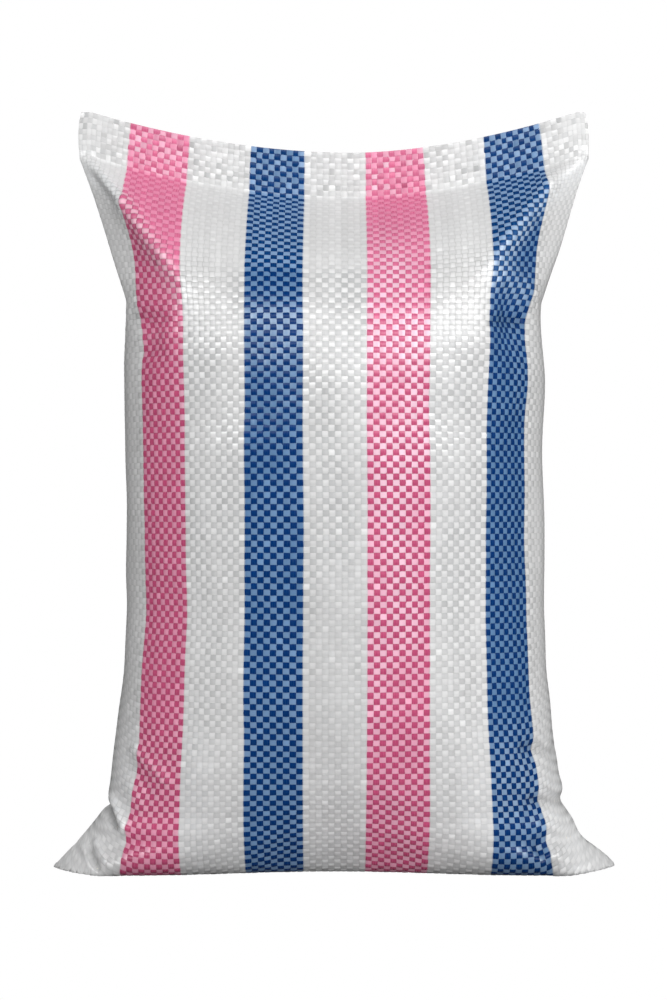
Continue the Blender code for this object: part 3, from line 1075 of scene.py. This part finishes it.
def tape_gap_shades(weave, fold):
    """Painted shade in the gaps between tapes: one at a tape's side for a black line there, and less for a
    fainter one.
    """
    column, row = weave.column, weave.row
    line = GAP_SHADE * (1.0 if weave.is_warp else 1.0 - slope_share(column, row))
    folded_share = ramp(np.abs(fold) / FOLD_GAP_SHADE_HEIGHT)
    folded_share = folded_share * (1.0 - margin_share(column) * rise(row, FOLD_GAP_SHADE_END_ROWS))
    line = line + SHINY_GAP_SHADE * shiny_share(column, row) + FOLD_GAP_SHADE * folded_share
    return 2.0 * np.abs(weave.side) * line ** (1.0 / EDGE_SHARPNESS)


def build_tapes(name, cloth, tapes, count, first_crossing, is_warp, material):
    """Interlaced tapes of one set, drawn over the crossings of the other."""
    weave = Weave(name, tapes, count, first_crossing, is_warp)
    points = cloth.point(weave.column, weave.row, tape_heights(weave)).reshape(-1, 3)
    fold = cloth.blend(cloth.fold, weave.column, weave.row)[..., 0]
    level = cloth.blend(cloth.grid, weave.column, weave.row)[..., 2]
    values = {"tone": tape_tones(weave), "gain": tape_gains(weave, fold, level),
              "contrast": tape_contrasts(weave), "pale": tape_highlights(weave, fold),
              "edge": tape_gap_shades(weave, fold)}
    if not is_warp:
        values.update({key: in_stripe(key, weave.column) for key in STRIPES})
    values = {key: np.broadcast_to(value, weave.column.shape).ravel() for key, value in values.items()}
    quads = strip_quads(len(tapes), weave.step.size, weave.side.size)
    obj = make_mesh(name, points, quads[:, ::-1] if is_warp else quads, weave.uv, values)
    obj.data.materials.append(material)
    return obj


def face_column(column):
    """The column counted from the middle of its face, for a position round the tube."""
    column = np.asarray(column) % (2 * COLUMNS)
    return np.where(column < COLUMNS, column - COLUMNS / 2, 1.5 * COLUMNS - column)


def in_stripe(colour, column):
    own = face_column(column)
    inside = np.zeros(own.shape)
    for low, high in STRIPES[colour]:
        inside = np.where((own > low) & (own < high), 1.0, inside)
    return inside


def set_inputs(tree, node, inputs):
    """Sets the inputs of a node, or links them where the value is another node's output."""
    for key, value in inputs.items():
        if hasattr(value, "is_output"):
            tree.links.new(value, node.inputs[key])
        else:
            node.inputs[key].default_value = value


def add_node(tree, kind, inputs, **settings):
    node = tree.nodes.new("ShaderNode" + kind)
    for key, value in settings.items():
        setattr(node, key, value)
    set_inputs(tree, node, inputs)
    return node


def calculate(tree, operation, *values):
    return add_node(tree, "Math", dict(enumerate(values)), operation=operation).outputs[0]


def attribute(tree, name):
    return add_node(tree, "Attribute", {}, attribute_name=name).outputs["Fac"]


def mix_colour(tree, first, second, share):
    return add_node(tree, "Mix", {0: share, 6: first, 7: second}, data_type="RGBA").outputs[2]


def new_material(name):
    material = bpy.data.materials.new(name)
    material.use_nodes = True
    return material, material.node_tree, material.node_tree.nodes["Principled BSDF"]


def tape_material(kind):
    """Drawn plastic tape: fine streaks along its length, a tone of its own for each float, and the painted
    light and shade that its points carry.
    """
    tones, roughness, gloss = TAPES[kind]
    material, tree, shader = new_material(f"{kind} tape")
    uv = add_node(tree, "UVMap", {}, uv_map="tape")
    scaled = add_node(tree, "Mapping", {"Vector": uv.outputs["UV"], "Scale": STREAK_SCALE})
    noise = add_node(tree, "TexNoise", {"Vector": scaled.outputs["Vector"], "Scale": 1.0, "Detail": 3.0})
    streak = noise.outputs["Fac"]
    tone = calculate(tree, "MULTIPLY", attribute(tree, "tone"), TONE_SHARE)
    tone = calculate(tree, "MULTIPLY_ADD", streak, STREAK_SHARE, tone)
    level = add_node(tree, "MapRange", {"Value": tone, "To Min": TONE_LIMITS[0], "To Max": TONE_LIMITS[1]})
    # The gain carries painted light and shade as well as each float's own brightness
    gain = calculate(tree, "MULTIPLY", level.outputs["Result"], attribute(tree, "gain"))
    # Painted shade in the gaps between tapes, as a dark line along the tape's sides
    line = calculate(tree, "POWER", attribute(tree, "edge"), EDGE_SHARPNESS)
    gain = calculate(tree, "MULTIPLY", gain, calculate(tree, "SUBTRACT", 1.0, line))
    contrast = attribute(tree, "contrast")
    taut, belly_tone, pale = ((*rgb, 1.0) for rgb in tones)
    colour = mix_colour(tree, taut, belly_tone, contrast)
    for key, tones_over in (WEFT_OVER if kind == "weft" else {}).items():
        share = attribute(tree, key)
        taut_over, belly_tone_over, pale_over = ((*rgb, 1.0) for rgb in tones_over)
        colour = mix_colour(tree, colour, mix_colour(tree, taut_over, belly_tone_over, contrast), share)
        pale = mix_colour(tree, pale, pale_over, share)
    # Painted highlight: the crest tone where the points carry it
    colour = mix_colour(tree, colour, pale, attribute(tree, "pale"))
    scaled_colour = add_node(tree, "VectorMath", {0: colour, "Scale": gain}, operation="SCALE")
    rough = add_node(tree, "MapRange", {"Value": streak, "To Min": roughness - ROUGHNESS_SPREAD,
                                        "To Max": roughness + ROUGHNESS_SPREAD})
    bump = add_node(tree, "Bump", {"Height": streak, "Strength": STREAK_STRENGTH, "Distance": STREAK_DEPTH})
    tangent = add_node(tree, "Tangent", {}, direction_type="UV_MAP", uv_map="tape")
    set_inputs(tree, shader, {"Base Color": scaled_colour.outputs["Vector"],
                              "Roughness": rough.outputs["Result"],
                              "Normal": bump.outputs["Normal"], "Tangent": tangent.outputs["Tangent"],
                              "Anisotropic": ANISOTROPY, "Specular IOR Level": gloss, "IOR": PLASTIC_IOR})
    return material


def make_camera():
    data = bpy.data.cameras.new("camera")
    data.sensor_fit = "VERTICAL"
    data.sensor_height = SENSOR
    data.lens = LENS
    camera = bpy.data.objects.new("camera", data)
    camera.location = CAMERA_PLACE
    camera.rotation_euler = (math.radians(90), 0.0, 0.0)
    bpy.context.scene.collection.objects.link(camera)
    bpy.context.scene.camera = camera


def make_area_light(name, place, target, size, power, in_gloss, in_diffuse):
    data = bpy.data.lights.new(name, "AREA")
    data.shape = "RECTANGLE"
    data.size, data.size_y = size
    data.energy = power
    light = bpy.data.objects.new(name, data)
    light.location = place
    direction = Vector(target) - Vector(place)
    light.rotation_euler = direction.to_track_quat("-Z", "Y").to_euler()
    light.visible_glossy = in_gloss
    light.visible_diffuse = in_diffuse
    bpy.context.scene.collection.objects.link(light)


def make_world():
    """Even light from all around, weaker in gloss, and pure white behind the bag."""
    world = bpy.data.worlds.new("studio")
    world.use_nodes = True
    tree = world.node_tree
    path = add_node(tree, "LightPath", {})
    light = tree.nodes["Background"]
    set_inputs(tree, light, {"Color": WHITE, "Strength": WORLD_STRENGTH})
    for ray, strength in (("Is Glossy Ray", GLOSS_STRENGTH), ("Is Camera Ray", 1.0)):
        other = add_node(tree, "Background", {"Color": WHITE, "Strength": strength})
        light = add_node(tree, "MixShader", {0: path.outputs[ray], 1: light.outputs[0], 2: other.outputs[0]})
    tree.links.new(light.outputs[0], tree.nodes["World Output"].inputs["Surface"])
    bpy.context.scene.world = world


def make_floor():
    bpy.ops.mesh.primitive_plane_add(size=FLOOR_SIZE, location=(0.0, 0.0, 0.0))
    floor = bpy.context.active_object
    floor.name = "floor"
    material, tree, shader = new_material("pale floor")
    set_inputs(tree, shader, {"Base Color": FLOOR_COLOUR, "Roughness": FLOOR_ROUGHNESS})
    glow = add_node(tree, "Emission", {"Color": WHITE})
    path = add_node(tree, "LightPath", {})
    both = add_node(tree, "MixShader", {0: path.outputs["Is Camera Ray"], 1: shader.outputs["BSDF"],
                                        2: glow.outputs["Emission"]})
    tree.links.new(both.outputs["Shader"], tree.nodes["Material Output"].inputs["Surface"])
    floor.data.materials.append(material)
    floor.visible_glossy = False


def hem_grid(tube):
    """The hem: the front cloth runs on past the seam, folds up and comes back under the base."""
    start = tube.grid[: 2 * COLUMNS + 1, -1]
    share = np.arange(2 * HEM_ROWS + 1) / (2.0 * HEM_ROWS)
    length = 2.0 * HEM_LENGTH * share
    out = np.minimum(length, 2.0 * HEM_LENGTH - length)
    turned = rise(length, (HEM_LENGTH - HEM_TURN, HEM_LENGTH + HEM_TURN))
    drop = HEM_DROP * smooth(share * HEM_DROP_RATE)
    height = (HEM_RETURN_HEIGHT - BASE_HEIGHT) * turned - drop * (1.0 - turned)
    grid = np.repeat(start[:, None], len(share), axis=1)
    grid[:, :, 1] += out[None, :]
    grid[:, :, 2] += height[None, :]
    return grid


def add_relief(tree, shader, pattern, kind, invert=False):
    """Colour and bumps that follow one pattern."""
    tones, strength, depth, roughness = kind
    bump = add_node(tree, "Bump", {"Height": pattern, "Strength": strength, "Distance": depth}, invert=invert)
    set_inputs(tree, shader, {"Base Color": mix_colour(tree, *tones, pattern),
                              "Normal": bump.outputs["Normal"], "Roughness": roughness})


def rice_material():
    """Grains that press against the cloth from inside."""
    material, tree, shader = new_material("rice grains")
    place = add_node(tree, "TexCoord", {})
    cells = add_node(tree, "TexVoronoi", {"Vector": place.outputs["Object"], "Scale": 1.0 / GRAIN_SIZE})
    add_relief(tree, shader, cells.outputs["Distance"], GRAINS, True)
    return material


def build_rice(tube):
    """The rice under the cloth, closed with a flat fan at the top and at the base."""
    random = np.random.default_rng(SEED + 7)
    round_tube = 2 * COLUMNS
    column = np.arange(round_tube)[:, None]
    rows = np.arange(RICE_TOP_ROW, SEAM_ROW - 1)[None, :]
    count = rows.size
    depth = RICE_DEPTH + RICE_UNEVENNESS * random.random((round_tube, count))
    points = tube.point(column + 0.0 * rows, rows + 0.0 * column, -depth)
    points[:, :, 2] = np.maximum(points[:, :, 2], 2.0 * BASE_HEIGHT)
    row = np.arange(count - 1)[None, :]
    following = (column + 1) % round_tube
    quads = np.stack([column * count + row, following * count + row,
                      following * count + row + 1, column * count + row + 1], axis=2).reshape(-1, 4)
    near = np.arange(COLUMNS)
    corners = np.stack([near, near + 1, round_tube - near - 1, (round_tube - near) % round_tube], axis=1)
    for ring, cap in ((0, corners), (count - 1, corners[:, ::-1])):
        quads = np.concatenate([quads, cap[1:-1] * count + ring])
    rice = make_mesh("rice", points.reshape(-1, 3), quads[:, ::-1])
    rice.data.materials.append(rice_material())
    return rice


def thread_material():
    """Twisted sewing thread."""
    material, tree, shader = new_material("sewing thread")
    uv = add_node(tree, "UVMap", {}, uv_map="tape")
    wave = add_node(tree, "TexWave", {"Vector": uv.outputs["UV"], "Scale": TWIST_SCALE},
                    bands_direction="DIAGONAL")
    add_relief(tree, shader, wave.outputs["Fac"], TWIST)
    return material


def unit(vectors):
    return vectors / np.linalg.norm(vectors, axis=-1, keepdims=True)


def build_stitches():
    """A row of chain stitches under the hem: each one is a loop of thread, narrow at its start."""
    angle = np.linspace(0.0, 2.0 * math.pi, THREAD_SIDES, endpoint=False)
    share = np.linspace(0.0, 1.0, STITCH_POINTS)
    bulge = np.sin(math.pi * share)
    strand = strip_quads(1, STITCH_POINTS, THREAD_SIDES)
    points, quads, uv = [], [], []
    for index in range(STITCHES):
        start = (index - STITCHES / 2) * STITCH_LENGTH
        for side in (-1.0, 1.0):
            x = start + share * STITCH_LENGTH * STITCH_OVERLAP
            y = seam_y(x) + STITCH_INSET + side * STITCH_HALF_WIDTH * bulge**STITCH_FULLNESS
            z = THREAD_RADIUS + STITCH_RISE * bulge + tip_rise(x)
            centre = np.stack([x, y, z], axis=1)
            forward = unit(np.gradient(centre, axis=0))
            sideways = unit(np.cross(forward, (0.0, 0.0, 1.0)))[:, None]
            upward = np.cross(sideways[:, 0], forward)[:, None]
            ring = sideways * np.cos(angle)[None, :, None] + upward * np.sin(angle)[None, :, None]
            first = sum(len(group) for group in points)
            points.append((centre[:, None] + THREAD_RADIUS * ring).reshape(-1, 3))
            turns = np.broadcast_arrays(share[:, None] * THREAD_TURNS, angle[None, :] / THREAD_ROUND)
            uv.append(np.stack(turns, axis=2).reshape(-1, 2))
            step = np.arange(STITCH_POINTS - 1)[:, None] * THREAD_SIDES
            corner = np.arange(THREAD_SIDES)[None, :]
            following = (corner + 1) % THREAD_SIDES
            quads.append(first + np.stack([step + corner, step + following, step + THREAD_SIDES + following,
                                           step + THREAD_SIDES + corner], axis=2).reshape(-1, 4))
    stitches = make_mesh("chain_stitches", np.concatenate(points), np.concatenate(quads), np.concatenate(uv))
    stitches.data.materials.append(thread_material())
    return stitches


def build_cloth(tube, hem):
    """All tapes of the tube and of the hem: the warp by its colour, and the weft in halves."""
    columns = np.arange(2 * COLUMNS)
    is_colour = {key: in_stripe(key, columns + 0.5) > 0.5 for key in STRIPES}
    is_colour["white"] = ~(is_colour["pink"] | is_colour["blue"])
    pieces = []
    for key in ("white", "pink", "blue"):
        material = tape_material(key)
        own = columns[is_colour[key]]
        pieces.append(build_tapes(f"{key}_warp", tube, own, SEAM_ROW, 0, True, material))
        own_front = own[own < COLUMNS]
        pieces.append(build_tapes(f"{key}_hem_warp", hem, own_front, HEM_ROWS, SEAM_ROW, True, material))
    weft = tape_material("weft")
    half = SEAM_ROW // 2
    for name, rows in (("upper_weft", np.arange(half)), ("lower_weft", np.arange(half, SEAM_ROW))):
        pieces.append(build_tapes(name, tube, rows, 2 * COLUMNS, 0, False, weft))
    pieces.append(build_tapes("hem_weft", hem, np.arange(HEM_ROWS), COLUMNS, SEAM_ROW, False, weft))
    return pieces


def main():
    bpy.context.scene.view_settings.view_transform = "Standard"
    bpy.context.scene.view_settings.look = "None"
    make_camera()
    make_world()
    make_floor()
    for name, settings in LIGHTS.items():
        make_area_light(name, *settings)

    points, fold = folded(row_samples(tube_lines()))
    tube = Cloth(points, True, fold)
    hem = Cloth(hem_grid(tube), False)
    pieces = build_cloth(tube, hem)
    for piece in pieces:
        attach(piece, "root")
    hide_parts("woven_sack")
    others = ((build_rice(tube), "rice_fill", "rice"), (build_stitches(), "seam_thread", "thread"))
    for piece, node, slot in others:
        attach(piece, "root")
        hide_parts(node)


main()
